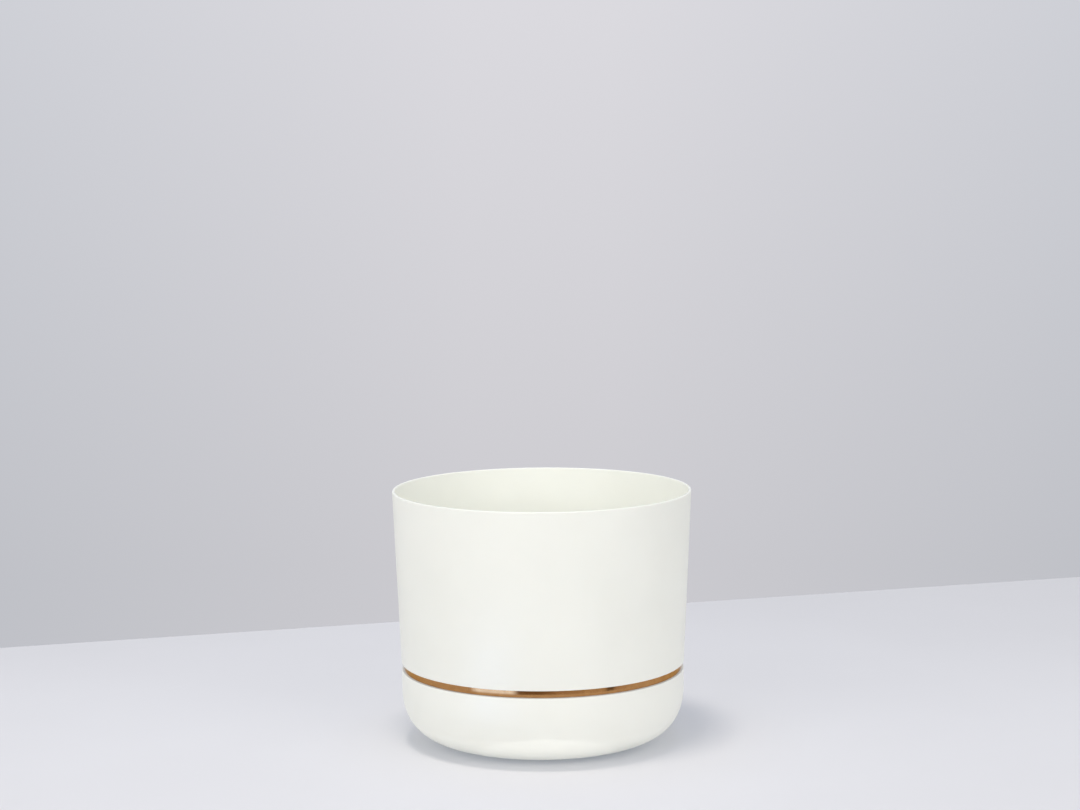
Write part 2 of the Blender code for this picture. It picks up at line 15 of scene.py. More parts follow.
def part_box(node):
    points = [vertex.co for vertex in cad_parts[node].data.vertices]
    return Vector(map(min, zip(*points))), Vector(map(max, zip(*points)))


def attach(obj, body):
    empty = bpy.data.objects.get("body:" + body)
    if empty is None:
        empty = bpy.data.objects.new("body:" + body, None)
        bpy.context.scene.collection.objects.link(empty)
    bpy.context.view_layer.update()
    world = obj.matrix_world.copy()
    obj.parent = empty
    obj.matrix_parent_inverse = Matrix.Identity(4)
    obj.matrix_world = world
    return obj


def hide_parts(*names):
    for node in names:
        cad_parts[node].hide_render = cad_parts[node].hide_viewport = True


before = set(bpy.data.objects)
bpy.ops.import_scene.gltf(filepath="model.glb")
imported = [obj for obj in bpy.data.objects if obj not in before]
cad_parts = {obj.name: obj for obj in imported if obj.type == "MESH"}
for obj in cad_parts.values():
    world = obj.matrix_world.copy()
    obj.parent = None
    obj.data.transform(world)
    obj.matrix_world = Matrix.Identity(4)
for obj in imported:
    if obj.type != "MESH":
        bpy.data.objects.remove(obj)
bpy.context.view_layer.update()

MM = 0.001
GAP = 0.3 * MM

# Sizes that the frame gives
POT_LOW, POT_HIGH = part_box("pot_shell")
SAUCER_LOW, SAUCER_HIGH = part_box("reservoir_saucer")
BAND_LOW, BAND_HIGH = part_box("brass_band")
PIN_LOW, PIN_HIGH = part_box("flap_pin")
FLOAT_LOW, FLOAT_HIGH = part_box("water_float")
ROD_LOW, ROD_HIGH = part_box("float_rod")
PLUG_LOW, PLUG_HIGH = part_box("drain_plug")
RIM_RADIUS = POT_HIGH[0]
RIM_TOP = POT_HIGH[2]
SAUCER_RADIUS = SAUCER_HIGH[0]
BASE_LOW = SAUCER_LOW[2]
NECK_TOP = SAUCER_HIGH[2]
BAND_RADIUS = BAND_HIGH[0]

# Shell sizes that the boxes don't give
SKIRT_LOW = 67 * MM
SKIRT_RADIUS = SAUCER_RADIUS + GAP
LIP_TOP = BAND_LOW[2] - GAP
POT_WALL = 2.2 * MM
SKIRT_WALL = 1.7 * MM
SAUCER_WALL = 2.5 * MM
FLOOR_THICKNESS = 2.5 * MM
FLOOR_CORNER = 8 * MM
CORNER_HEIGHT = 45 * MM
CORNER_WIDTH = 46 * MM
CORNER_POWER = 2.4
BAND_THICKNESS = 0.8 * MM
NECK_RADIUS = BAND_RADIUS - BAND_THICKNESS - GAP
NECK_WALL = 2.2 * MM
RECESS_RADIUS = 54 * MM
RECESS_DEPTH = 2 * MM
EDGE_ROUND = 0.5 * MM
LIP_ROUND = 0.8 * MM
SKIRT_ROUND = 0.25 * MM

SAUCER_INSIDE = SAUCER_RADIUS - SAUCER_WALL
NECK_INSIDE = NECK_RADIUS - NECK_WALL
FLOOR_LOW = NECK_TOP + GAP
FLOOR_TOP = FLOOR_LOW + FLOOR_THICKNESS
SPIGOT_RADIUS = NECK_INSIDE - 0.5 * MM
SPIGOT_WALL = 1.8 * MM
SPIGOT_LOW = FLOOR_LOW - 6.8 * MM
RIB_THICKNESS = 1.8 * MM
RIB_LOW = FLOOR_LOW - 6.3 * MM
DRAIN_HOLE_RADIUS = 2.5 * MM
COUNTERSINK = 0.6 * MM
OUTER_HOLES = 18
OUTER_HOLE_CIRCLE = 97 * MM
INNER_HOLES = 6
INNER_HOLE_CIRCLE = 26 * MM
PAIR_HOLE_CIRCLE = 66 * MM
PAIR_HOLE_ANGLE = radians(14)
BAND_EDGE = 0.25 * MM
BAND_SEAM = 0.6 * MM

# Baskets
BASKET_COUNT = 3
BASKET_CIRCLE = 58 * MM
BASKET_START = radians(90)
BASKET_RADIUS = 20 * MM
BASKET_FOOT_RADIUS = 15 * MM
BASKET_WALL = 1.6 * MM
BASKET_LOW = 8 * MM
FLANGE_RADIUS = 25 * MM
FLANGE_THICKNESS = 2 * MM
SEAT_RADIUS = BASKET_RADIUS + 0.5 * MM
COLLAR_WALL = 1.8 * MM
SLOT_COUNT = 8
SLOT_WIDTH = 3 * MM
SLOT_LOW = 18 * MM
SLOT_TOP = 60 * MM
SLOT_MARGIN = 0.8 * MM
BASKET_EDGE = 0.7 * MM
BASE_HOLE_COUNT = 4
BASE_HOLE_RADIUS = 1.5 * MM

# Filling flap and its hinge
PORT_WIDTH = 40 * MM
PORT_LOW = 40 * MM
PORT_TOP = 54 * MM
PORT_CORNER = 3 * MM
FLAP_WIDTH = 44 * MM
FLAP_LOW = 38.5 * MM
FLAP_TOP = 55.5 * MM
FLAP_THICKNESS = 1.6 * MM
FLAP_RADIUS = SAUCER_INSIDE - 0.8 * MM
HINGE_Y = (PIN_LOW[1] + PIN_HIGH[1]) / 2
HINGE_Z = (PIN_LOW[2] + PIN_HIGH[2]) / 2
BARREL_RADIUS = 2.3 * MM
BARREL_LENGTH = 48 * MM
FLAP_CORNER = 0.5 * MM
PIN_RADIUS = 1.25 * MM
PIN_EDGE = 0.3 * MM
PIN_LENGTH = PIN_HIGH[0] - PIN_LOW[0]
EAR_THICKNESS = 3.2 * MM
EAR_DEPTH = 9 * MM
EAR_SHIFT = 2 * MM
EAR_LOW = 53.5 * MM
EAR_TOP = 59.5 * MM
SPRING_NOTCH = 10 * MM
SPRING_WIRE_RADIUS = 0.35 * MM
SPRING_RADIUS = PIN_RADIUS + SPRING_WIRE_RADIUS + GAP
SPRING_PITCH = 1.3 * MM
SPRING_TURNS = 7

# Water gauge
GAUGE_ANGLE = radians(66)
LENS_HEIGHT = 48 * MM
LENS_RADIUS = 6.2 * MM
LENS_FLANGE_RADIUS = 8.5 * MM
LENS_CROWN = 1.0 * MM
LENS_EDGE = 0.35 * MM
FLOAT_CIRCLE = 90 * MM
FLOAT_RADIUS = 12 * MM
FLOAT_BORE = 2.1 * MM
FLOAT_EDGE = 1.5 * MM
FLOAT_BORE_EDGE = 0.5 * MM
ROD_RADIUS = 1.6 * MM
ROD_EDGE = 0.4 * MM
POST_RADIUS = 3.5 * MM
POST_LOW = 4.8 * MM
BRACKET_LOW = 57 * MM
BRACKET_TOP = 60 * MM

# Plug and feet
PLUG_RADIUS = 6.3 * MM
PLUG_HEAD_RADIUS = 9 * MM
PLUG_HEAD_EDGE = 0.5 * MM
PLUG_NOSE = 0.6 * MM
GRIP_SIZE = (3 * MM, 9 * MM, 1.6 * MM)
GRIP_PLACE = 4 * MM
FOOT_COUNT = 4
FOOT_CIRCLE = 65 * MM
FOOT_RADIUS = 6 * MM
FOOT_SOCKET_DEPTH = 1 * MM
FOOT_EDGE = 0.6 * MM
FOOT_TOP_EDGE = 0.2 * MM
FOOT_RING = 3.2 * MM
FOOT_RING_HALF_WIDTH = 0.4 * MM
FOOT_RING_DEPTH = 0.3 * MM

# Fineness
SHELL_STEPS = 240
SMALL_STEPS = 64
HOLE_STEPS = 32
SHARP = 40
BEVELLED_SHARP = 20
OVERSHOOT = 5 * MM


# --- Geometry helpers ---------------------------------------------------------------------


def link(made):
    bpy.context.scene.collection.objects.link(made)
    return made


def arc(centre, radius, start, end, count=7):
    """Points of a circular arc in an outline's plane; angles in degrees, both ends kept."""
    spread = [radians(start + (end - start) * i / (count - 1)) for i in range(count)]
    return [(centre[0] + radius * cos(a), centre[1] + radius * sin(a)) for a in spread]


def polar(radius, angle, z=0.0):
    return Vector((radius * cos(angle), radius * sin(angle), z))


def upright(position, angle=0.0):
    return Matrix.Translation(position) @ Matrix.Rotation(angle, 4, "Z")


def radial(position, angle):
    """Points an object's own Z axis outwards along the radius at this angle."""
    return upright(position, angle) @ Matrix.Rotation(pi / 2, 4, "Y")


def turned(name, outline, steps=SHELL_STEPS, closed=False):
    """A turned piece from (radius, height) points, with a Screw modifier."""
    mesh = bpy.data.meshes.new(name)
    edges = [(i, i + 1) for i in range(len(outline) - 1)]
    if closed:
        edges.append((len(outline) - 1, 0))
    mesh.from_pydata([(r, 0, z) for r, z in outline], edges, [])
    made = link(bpy.data.objects.new(name, mesh))
    screw = made.modifiers.new("turned", "SCREW")
    screw.steps = steps
    screw.render_steps = steps
    screw.use_merge_vertices = True
    screw.merge_threshold = 0.002 * MM
    screw.use_smooth_shade = True
    return made


def from_form(name, form):
    mesh = bpy.data.meshes.new(name)
    form.to_mesh(mesh)
    form.free()
    return link(bpy.data.objects.new(name, mesh))


def add_cylinder(form, matrix, radius, length, steps=HOLE_STEPS):
    bmesh.ops.create_cone(
        form,
        cap_ends=True,
        segments=steps,
        radius1=radius,
        radius2=radius,
        depth=length,
        matrix=matrix,
    )


def add_box(form, matrix, size):
    bmesh.ops.create_cube(form, size=1, matrix=matrix @ Matrix.Diagonal((*size, 1)))


def boolean(made, helper, operation="DIFFERENCE", overlapping=False):
    change = made.modifiers.new(helper.name, "BOOLEAN")
    change.operation = operation
    change.object = helper
    change.use_self = overlapping


def bevel(made, width, segments=3, angle=50):
    rounding = made.modifiers.new("rounded_edges", "BEVEL")
    rounding.width = width
    rounding.segments = segments
    rounding.limit_method = "ANGLE"
    rounding.angle_limit = radians(angle)
    rounding.use_clamp_overlap = True


def settle(made, helpers=(), sharp=SHARP):
    """Applies the modifiers, removes the helpers, and shades smooth apart from sharp edges."""
    depsgraph = bpy.context.evaluated_depsgraph_get()
    final = bpy.data.meshes.new_from_object(made.evaluated_get(depsgraph), depsgraph=depsgraph)
    made.modifiers.clear()
    made.data = final
    for helper in helpers:
        bpy.data.objects.remove(helper)
    final.shade_smooth()
    final.set_sharp_from_angle(angle=radians(sharp))
    return made


def stand_for(made, node, body, skin):
    """made is shown for a CAD node, rides on its body, and wears a material."""
    made.data.materials.clear()
    made.data.materials.append(skin)
    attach(made, body)
    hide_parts(node)
    return made


# --- Material helpers ---------------------------------------------------------------------


def new_material(name):
    skin = bpy.data.materials.new(name)
    skin.use_nodes = True
    nodes = skin.node_tree.nodes
    return skin, nodes, skin.node_tree.links, nodes["Principled BSDF"]


def noise(nodes, links, source, scale, detail=4.0, roughness=0.5):
    made = nodes.new("ShaderNodeTexNoise")
    made.inputs["Scale"].default_value = scale
    made.inputs["Detail"].default_value = detail
    made.inputs["Roughness"].default_value = roughness
    links.new(source, made.inputs["Vector"])
    return made.outputs["Fac"]


def ramp(nodes, links, source, low, high, start=0.35, end=0.65):
    """Maps a factor onto two colours."""
    made = nodes.new("ShaderNodeValToRGB")
    made.color_ramp.elements[0].position = start
    made.color_ramp.elements[1].position = end
    made.color_ramp.elements[0].color = (*low, 1)
    made.color_ramp.elements[1].color = (*high, 1)
    links.new(source, made.inputs["Fac"])
    return made.outputs["Color"]


def spread(nodes, links, source, low, high, start=0.3, end=0.7):
    """Maps a factor onto a range of numbers."""
    made = nodes.new("ShaderNodeMapRange")
    made.inputs["From Min"].default_value = start
    made.inputs["From Max"].default_value = end
    made.inputs["To Min"].default_value = low
    made.inputs["To Max"].default_value = high
    links.new(source, made.inputs["Value"])
    return made.outputs["Result"]


def bump(nodes, links, height, shader, strength, distance, under=None):
    made = nodes.new("ShaderNodeBump")
    made.inputs["Strength"].default_value = strength
    made.inputs["Distance"].default_value = distance
    links.new(height, made.inputs["Height"])
    if under is not None:
        links.new(under, made.inputs["Normal"])
    links.new(made.outputs["Normal"], shader.inputs["Normal"])
    return made.outputs["Normal"]


def object_place(nodes):
    return nodes.new("ShaderNodeTexCoord").outputs["Object"]


def round_place(nodes, links, radius):
    """Coordinates unrolled from the Z axis: along the circumference, height, and radius."""
    split = nodes.new("ShaderNodeSeparateXYZ")
    links.new(object_place(nodes), split.inputs["Vector"])
    turn = nodes.new("ShaderNodeMath")
    turn.operation = "ARCTAN2"
    links.new(split.outputs["Y"], turn.inputs[0])
    links.new(split.outputs["X"], turn.inputs[1])
    around = nodes.new("ShaderNodeMath")
    around.operation = "MULTIPLY"
    around.inputs[1].default_value = radius
    links.new(turn.outputs["Value"], around.inputs[0])
    joined = nodes.new("ShaderNodeCombineXYZ")
    links.new(around.outputs["Value"], joined.inputs["X"])
    links.new(split.outputs["Z"], joined.inputs["Z"])
    return joined.outputs["Vector"]


def stretched(nodes, links, source, scale):
    made = nodes.new("ShaderNodeMapping")
    made.inputs["Scale"].default_value = scale
    links.new(source, made.inputs["Vector"])
    return made.outputs["Vector"]


def edge_pointiness(nodes):
    """Geometry's pointiness, a little over a half on outer edges."""
    return nodes.new("ShaderNodeNewGeometry").outputs["Pointiness"]


def satin_plastic(name, low, high, rough_low, rough_high):
    """Moulded plastic: a fine spark-eroded grain, faint clouding and lighter outer edges."""
    skin, nodes, links, shader = new_material(name)
    place = object_place(nodes)
    cloud = noise(nodes, links, place, 14, 3)
    colour = ramp(nodes, links, cloud, low, high)
    # Sharp outer edges are drawn a little lighter, from the geometry's pointiness.
    edge_lightened = nodes.new("ShaderNodeMix")
    edge_lightened.data_type = "RGBA"
    edge_lightened.blend_type = "MIX"
    links.new(spread(nodes, links, edge_pointiness(nodes), 0, 0.5, 0.52, 0.6), edge_lightened.inputs["Factor"])
    links.new(colour, edge_lightened.inputs["A"])
    edge_lightened.inputs["B"].default_value = (*[min(1, c * 1.03) for c in high], 1)
    links.new(edge_lightened.outputs["Result"], shader.inputs["Base Color"])
    smear = noise(nodes, links, place, 60, 5, 0.6)
    links.new(spread(nodes, links, smear, rough_low, rough_high), shader.inputs["Roughness"])
    fine = noise(nodes, links, place, 2200, 2)
    wave = noise(nodes, links, place, 45, 1)
    first = bump(nodes, links, wave, shader, 0.10, 0.08 * MM)
    bump(nodes, links, fine, shader, 0.35, 0.02 * MM, first)
    return skin


def white_plastic():
    shade, tint = (0.860, 0.862, 0.790), (0.882, 0.884, 0.812)
    skin = satin_plastic("white_plastic", shade, tint, 0.36, 0.46)
    shader = skin.node_tree.nodes["Principled BSDF"]
    shader.inputs["IOR"].default_value = 1.46
    shader.inputs["Subsurface Weight"].default_value = 0.06
    shader.inputs["Subsurface Radius"].default_value = (1.0, 0.9, 0.8)
    shader.inputs["Subsurface Scale"].default_value = 1.2 * MM
    return skin


def brass():
    """Rolled brass strip: lines along its length, a mottled tarnish, and clear lacquer."""
    skin, nodes, links, shader = new_material("brass")
    unrolled = round_place(nodes, links, BAND_RADIUS)
    lines = noise(nodes, links, stretched(nodes, links, unrolled, (60, 1, 9000)), 1, 3, 0.6)
    mottle = noise(nodes, links, object_place(nodes), 160, 5, 0.65)
    tarnish = ramp(nodes, links, mottle, (0.465, 0.228, 0.078), (0.555, 0.290, 0.106))
    tone = nodes.new("ShaderNodeMix")
    tone.data_type = "RGBA"
    tone.blend_type = "MULTIPLY"
    tone.inputs["Factor"].default_value = 0.35
    links.new(tarnish, tone.inputs["A"])
    links.new(ramp(nodes, links, lines, (0.75, 0.73, 0.70), (1, 1, 1)), tone.inputs["B"])
    links.new(tone.outputs["Result"], shader.inputs["Base Color"])
    shader.inputs["Metallic"].default_value = 1.0
    links.new(spread(nodes, links, lines, 0.08, 0.15), shader.inputs["Roughness"])
    shader.inputs["Specular Tint"].default_value = (0.80, 0.60, 0.38, 1)
    shader.inputs["Coat Weight"].default_value = 0.15
    shader.inputs["Coat Roughness"].default_value = 0.12
    bump(nodes, links, lines, shader, 0.12, 0.01 * MM)
    return skin


def steel():
    """Drawn stainless wire."""
    skin, nodes, links, shader = new_material("steel")
    place = object_place(nodes)
    drawn = noise(nodes, links, stretched(nodes, links, place, (300, 9000, 9000)), 1, 3)
    colour = ramp(nodes, links, drawn, (0.50, 0.51, 0.52), (0.66, 0.67, 0.68))
    links.new(colour, shader.inputs["Base Color"])
    shader.inputs["Metallic"].default_value = 1.0
    links.new(spread(nodes, links, drawn, 0.2, 0.38), shader.inputs["Roughness"])
    bump(nodes, links, drawn, shader, 0.15, 0.01 * MM)
    return skin


def clear_plastic():
    """Clear moulded lens with faint flow lines."""
    skin, nodes, links, shader = new_material("clear_plastic")
    flow = noise(nodes, links, object_place(nodes), 220, 2)
    colour = ramp(nodes, links, flow, (0.90, 0.94, 0.95), (0.97, 0.98, 0.98))
    links.new(colour, shader.inputs["Base Color"])
    links.new(spread(nodes, links, flow, 0.03, 0.09), shader.inputs["Roughness"])
    shader.inputs["Transmission Weight"].default_value = 0.92
    shader.inputs["IOR"].default_value = 1.49
    bump(nodes, links, flow, shader, 0.05, 0.05 * MM)
    return skin


def float_foam():
    """Closed-cell orange foam."""
    skin, nodes, links, shader = new_material("orange_foam")
    place = object_place(nodes)
    cells = nodes.new("ShaderNodeTexVoronoi")
    cells.inputs["Scale"].default_value = 1400
    links.new(place, cells.inputs["Vector"])
    mottle = noise(nodes, links, place, 180, 3)
    colour = ramp(nodes, links, mottle, (0.72, 0.17, 0.03), (0.86, 0.25, 0.05))
    links.new(colour, shader.inputs["Base Color"])
    links.new(spread(nodes, links, mottle, 0.5, 0.65), shader.inputs["Roughness"])
    bump(nodes, links, cells.outputs["Distance"], shader, 0.4, 0.15 * MM)
    return skin


def rubber():
    """Moulded black rubber."""
    skin, nodes, links, shader = new_material("rubber")
    place = object_place(nodes)
    mottle = noise(nodes, links, place, 260, 4)
    colour = ramp(nodes, links, mottle, (0.022, 0.022, 0.023), (0.05, 0.05, 0.052))
    links.new(colour, shader.inputs["Base Color"])
    links.new(spread(nodes, links, mottle, 0.6, 0.82), shader.inputs["Roughness"])
    bump(nodes, links, noise(nodes, links, place, 2600, 2), shader, 0.4, 0.04 * MM)
    return skin


# --- Pieces -------------------------------------------------------------------------------


def pot_outside(z):
    share = (z - SKIRT_LOW) / (RIM_TOP - SKIRT_LOW)
    return SKIRT_RADIUS + share * (RIM_RADIUS - SKIRT_RADIUS)


def basket_places():
    for i in range(BASKET_COUNT):
        yield i + 1, polar(BASKET_CIRCLE, BASKET_START + 2 * pi * i / BASKET_COUNT)


def between_baskets():
    """The angles halfway between one basket and the next."""
    start = BASKET_START + pi / BASKET_COUNT
    return [start + 2 * pi * i / BASKET_COUNT for i in range(BASKET_COUNT)]


def pot_outline():
    """From the middle of the floor up the inside, over the rounded rim and down the outside."""
    corner_z = FLOOR_TOP + FLOOR_CORNER
    inside = pot_outside(corner_z) - POT_WALL
    lip = POT_WALL / 2
    points = [(0, FLOOR_TOP)]
    points += arc((inside - FLOOR_CORNER, corner_z), FLOOR_CORNER, -90, 0, 13)
    points += arc((RIM_RADIUS - lip, RIM_TOP - lip), lip, 180, 0, 13)
    points += arc((SKIRT_RADIUS - SKIRT_ROUND, SKIRT_LOW + SKIRT_ROUND), SKIRT_ROUND, 0, -90)
    inner = SKIRT_RADIUS - SKIRT_WALL
    points += arc((inner + EDGE_ROUND, SKIRT_LOW + EDGE_ROUND), EDGE_ROUND, -90, -180)
    points += arc((inner - EDGE_ROUND, FLOOR_LOW - EDGE_ROUND), EDGE_ROUND, 0, 90)
    points += arc((SPIGOT_RADIUS + EDGE_ROUND, FLOOR_LOW - EDGE_ROUND), EDGE_ROUND, 90, 180)
    spigot_in = SPIGOT_RADIUS - SPIGOT_WALL
    points += arc((SPIGOT_RADIUS - EDGE_ROUND, SPIGOT_LOW + EDGE_ROUND), EDGE_ROUND, 0, -90)
    points += arc((spigot_in + EDGE_ROUND, SPIGOT_LOW + EDGE_ROUND), EDGE_ROUND, -90, -180)
    points += arc((spigot_in - EDGE_ROUND, FLOOR_LOW - EDGE_ROUND), EDGE_ROUND, 0, 90)
    points += [(0, FLOOR_LOW)]
    return points


def floor_stiffeners():
    form = bmesh.new()
    height = FLOOR_LOW - RIB_LOW + FLOOR_THICKNESS / 2
    middle = RIB_LOW + height / 2
    reach = SPIGOT_RADIUS - SPIGOT_WALL / 2
    for angle in between_baskets():
        place = upright(polar(reach / 2, angle, middle), angle)
        add_box(form, place, (reach, RIB_THICKNESS, height))
    for _, centre in basket_places():
        place = upright(centre + Vector((0, 0, middle)))
        add_cylinder(form, place, SEAT_RADIUS + COLLAR_WALL, height, SMALL_STEPS)
    return from_form("floor_stiffeners", form)


def hole_places():
    """(radius, angle) of each drain hole."""
    for i in range(OUTER_HOLES):
        yield OUTER_HOLE_CIRCLE, 2 * pi * (i + 0.5) / OUTER_HOLES
    for i in range(INNER_HOLES):
        yield INNER_HOLE_CIRCLE, 2 * pi * i / INNER_HOLES
    for angle in between_baskets():
        for side in (-1, 1):
            yield PAIR_HOLE_CIRCLE, angle + side * PAIR_HOLE_ANGLE


def floor_holes():
    """Drain holes with a countersunk mouth."""
    above = FLOOR_TOP + OVERSHOOT
    below = FLOOR_LOW - OVERSHOOT
    outline = [(0, above), (DRAIN_HOLE_RADIUS + COUNTERSINK + OVERSHOOT, above)]
    outline += [(DRAIN_HOLE_RADIUS, FLOOR_TOP - COUNTERSINK), (DRAIN_HOLE_RADIUS, below)]
    outline += [(0, below)]
    pattern = settle(turned("drain_hole", outline, HOLE_STEPS))
    form = bmesh.new()
    for radius, angle in hole_places():
        start = len(form.verts)
        form.from_mesh(pattern.data)
        form.verts.ensure_lookup_table()
        bmesh.ops.translate(form, verts=form.verts[start:], vec=polar(radius, angle))
    bpy.data.objects.remove(pattern)
    return from_form("floor_holes", form)


def basket_seats():
    form = bmesh.new()
    for _, centre in basket_places():
        middle = centre + Vector((0, 0, (FLOOR_TOP + RIB_LOW) / 2))
        length = FLOOR_TOP - RIB_LOW + 2 * OVERSHOOT
        add_cylinder(form, upright(middle), SEAT_RADIUS, length, SMALL_STEPS)
    return from_form("basket_seats", form)


def make_pot(skin):
    pot = turned("planter_pot", pot_outline())
    helpers = [floor_stiffeners(), basket_seats(), floor_holes()]
    boolean(pot, helpers[0], "UNION", overlapping=True)
    boolean(pot, helpers[1])
    boolean(pot, helpers[2])
    settle(pot, helpers)
    stand_for(pot, "pot_shell", "pot", skin)


def rounded_corner(inset, count=40):
    """The saucer's lower corner, a quarter superellipse, moved inwards by inset."""
    contact = SAUCER_RADIUS - CORNER_WIDTH
    points = []
    for i in range(count):
        a = pi / 2 * i / (count - 1)
        across = abs(cos(a)) ** (2 / CORNER_POWER)
        down = sin(a) ** (2 / CORNER_POWER)
        outwards = across ** (CORNER_POWER - 1) / CORNER_WIDTH
        downwards = down ** (CORNER_POWER - 1) / CORNER_HEIGHT
        normal = Vector((outwards, downwards)).normalized()
        r = contact + CORNER_WIDTH * across - inset * normal[0]
        z = BASE_LOW + CORNER_HEIGHT * (1 - down) + inset * normal[1]
        points.append((r, z))
    return points


def saucer_outline():
    """From the middle of the floor up the inside to the neck, then down the outside."""
    shelf_low = LIP_TOP - SAUCER_WALL
    flare_low = shelf_low - (SAUCER_INSIDE - NECK_INSIDE)
    r = EDGE_ROUND
    raised = BASE_LOW + RECESS_DEPTH
    floor = BASE_LOW + SAUCER_WALL
    points = [(0, raised + SAUCER_WALL)]
    points += arc((RECESS_RADIUS - r, raised + SAUCER_WALL - r), r, 90, 45, 4)
    points += arc((RECESS_RADIUS + RECESS_DEPTH + r, floor + r), r, 225, 270, 4)
    points += rounded_corner(SAUCER_WALL)[::-1]
    points += [(SAUCER_INSIDE, flare_low), (NECK_INSIDE, shelf_low)]
    points += arc((NECK_INSIDE + r, NECK_TOP - r), r, 180, 90)
    points += arc((NECK_RADIUS - r, NECK_TOP - r), r, 90, 0)
    points += arc((NECK_RADIUS + r, LIP_TOP + r), r, 180, 270)
    points += arc((SAUCER_RADIUS - LIP_ROUND, LIP_TOP - LIP_ROUND), LIP_ROUND, 90, 0)
    points += rounded_corner(0)
    points += arc((RECESS_RADIUS + RECESS_DEPTH + r, BASE_LOW + r), r, 270, 225, 4)
    points += arc((RECESS_RADIUS - r, raised - r), r, 45, 90, 4)
    points += [(0, raised)]
    return points


def ears(form):
    for side in (-1, 1):
        x = side * (BARREL_LENGTH / 2 + GAP + EAR_THICKNESS / 2)
        ear = (x, HINGE_Y + EAR_SHIFT, (EAR_LOW + EAR_TOP) / 2)
        add_box(form, upright(ear), (EAR_THICKNESS, EAR_DEPTH, EAR_TOP - EAR_LOW))


def saucer_bosses():
    form = bmesh.new()
    ears(form)
    post_top = FLOAT_LOW[2] - GAP
    post = polar(FLOAT_CIRCLE, GAUGE_ANGLE, (POST_LOW + post_top) / 2)
    add_cylinder(form, upright(post), POST_RADIUS, post_top - POST_LOW)
    arm_in = FLOAT_CIRCLE - POST_RADIUS
    arm_out = SAUCER_INSIDE - 0.5 * MM
    arm = polar((arm_in + arm_out) / 2, GAUGE_ANGLE, (BRACKET_LOW + BRACKET_TOP) / 2)
    arm_size = (arm_out - arm_in, 2 * POST_RADIUS, BRACKET_TOP - BRACKET_LOW)
    add_box(form, upright(arm, GAUGE_ANGLE), arm_size)
    return from_form("saucer_bosses", form)


def rounded_slot(name, width, low, top, corner, y_middle, depth):
    """A box with rounded corners seen along Y."""
    form = bmesh.new()
    add_box(form, upright((0, y_middle, (low + top) / 2)), (width, depth, top - low))
    along = [e for e in form.edges if abs((e.verts[0].co - e.verts[1].co).y) > depth / 2]
    bmesh.ops.bevel(form, geom=along, offset=corner, segments=10, profile=0.5, affect="EDGES")
    return from_form(name, form)


def saucer_holes():
    form = bmesh.new()
    hinge_line = Matrix.Translation((0, HINGE_Y, HINGE_Z)) @ Matrix.Rotation(pi / 2, 4, "Y")
    ear_span = BARREL_LENGTH + 2 * GAP + 2 * EAR_THICKNESS
    add_cylinder(form, hinge_line, PIN_RADIUS + GAP, ear_span + GAP)
    rod_low = ROD_LOW[2] - GAP
    rod = polar(FLOAT_CIRCLE, GAUGE_ANGLE, (rod_low + ROD_HIGH[2]) / 2)
    add_cylinder(form, upright(rod), ROD_RADIUS + GAP, ROD_HIGH[2] - rod_low)
    lens = polar(SAUCER_RADIUS, GAUGE_ANGLE, LENS_HEIGHT)
    add_cylinder(form, radial(lens, GAUGE_ANGLE), LENS_RADIUS + GAP, 4 * OVERSHOOT, SMALL_STEPS)
    add_cylinder(form, upright((0, 0, BASE_LOW)), PLUG_RADIUS + GAP, 4 * OVERSHOOT, SMALL_STEPS)
    for angle in foot_angles():
        foot = polar(FOOT_CIRCLE, angle, BASE_LOW + FOOT_SOCKET_DEPTH - OVERSHOOT / 2)
        add_cylinder(form, upright(foot), FOOT_RADIUS + GAP, OVERSHOOT, SMALL_STEPS)
    return from_form("saucer_holes", form)


def make_saucer(skin):
    saucer = turned("planter_saucer", saucer_outline())
    middle = SAUCER_RADIUS - SAUCER_WALL / 2
    depth = SAUCER_WALL + 2 * OVERSHOOT
    port = rounded_slot("port", PORT_WIDTH, PORT_LOW, PORT_TOP, PORT_CORNER, middle, depth)
    helpers = [saucer_bosses(), saucer_holes(), port]
    boolean(saucer, helpers[0], "UNION")
    boolean(saucer, helpers[1])
    boolean(saucer, helpers[2])
    settle(saucer, helpers)
    stand_for(saucer, "reservoir_saucer", "saucer", skin)


def make_band(skin):
    """The strip has soft rolled edges and a butt seam at the back."""
    low = BAND_LOW[2]
    top = BAND_HIGH[2]
    inside = BAND_RADIUS - BAND_THICKNESS
    r = BAND_EDGE
    outline = arc((BAND_RADIUS - r, top - r), r, 90, 0, 5)
    outline += arc((BAND_RADIUS - r, low + r), r, 0, -90, 5)
    outline += [(inside, low), (inside, top)]
    band = turned("planter_band", outline, 360, closed=True)
    form = bmesh.new()
    place = upright((0, BAND_RADIUS, (low + top) / 2))
    add_box(form, place, (BAND_SEAM, 2 * OVERSHOOT, 4 * OVERSHOOT))
    seam = from_form("band_seam", form)
    boolean(band, seam)
    settle(band, [seam])
    stand_for(band, "brass_band", "saucer", skin)


def on_line(start, end, heights):
    """Points at these heights on the straight line between two (radius, height) points."""
    for z in heights:
        share = (z - start[1]) / (end[1] - start[1])
        yield start[0] + share * (end[0] - start[0]), z


